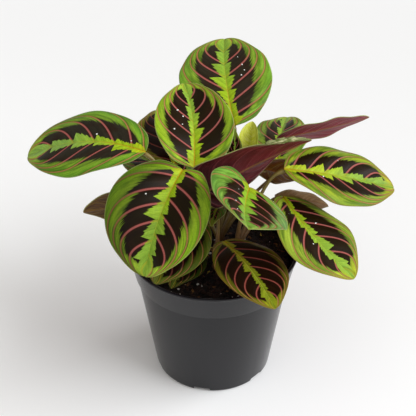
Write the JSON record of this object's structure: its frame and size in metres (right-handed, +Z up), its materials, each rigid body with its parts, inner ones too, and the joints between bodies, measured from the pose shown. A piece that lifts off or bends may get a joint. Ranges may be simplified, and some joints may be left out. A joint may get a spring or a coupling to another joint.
{
  "type": "potted prayer plant",
  "caption": "Prayer plant with broad oval, patterned leaves on slim arching stalks, growing in peaty soil in a tapered round nursery pot with a stepped collar.",
  "frame": {"origin": "centre of the pot's flat underside, where it rests", "axes": "+Z up along the pot's axis, -Y towards the front of the plant, +X to its right"},
  "size_m": [0.2573, 0.2282, 0.1974],
  "materials": {
    "pot": "satin",
    "soil": "matte",
    "stalk": "satin",
    "leaf": "satin",
    "young_leaf": "satin"
  },
  "bodies": {
    "root": {"pot": "pot", "soil": "soil", "shoot_left": "stalk", "shoot_front_left": "stalk", "shoot_front": "stalk", "shoot_right": "stalk", "shoot_back": "stalk", "leaf_far_left": "leaf", "leaf_centre": "leaf", "leaf_top": "leaf", "leaf_front_left": "leaf", "leaf_inner_right": "leaf", "leaf_far_right": "leaf", "leaf_low_right": "leaf", "leaf_over_rim": "leaf", "leaf_turned_long": "leaf", "leaf_turned_right": "leaf", "leaf_rear_right": "leaf", "leaf_rolled": "young_leaf", "leaf_turned_small": "leaf", "leaf_turned_low": "leaf", "leaf_behind_low_right": "leaf", "leaf_behind_left": "leaf", "leaf_turned_left": "leaf", "leaf_under_front_left": "leaf", "leaf_over_soil": "leaf", "leaf_smallest": "leaf", "leaf_back_left": "leaf", "leaf_back": "leaf"}
  },
  "joints": []
}
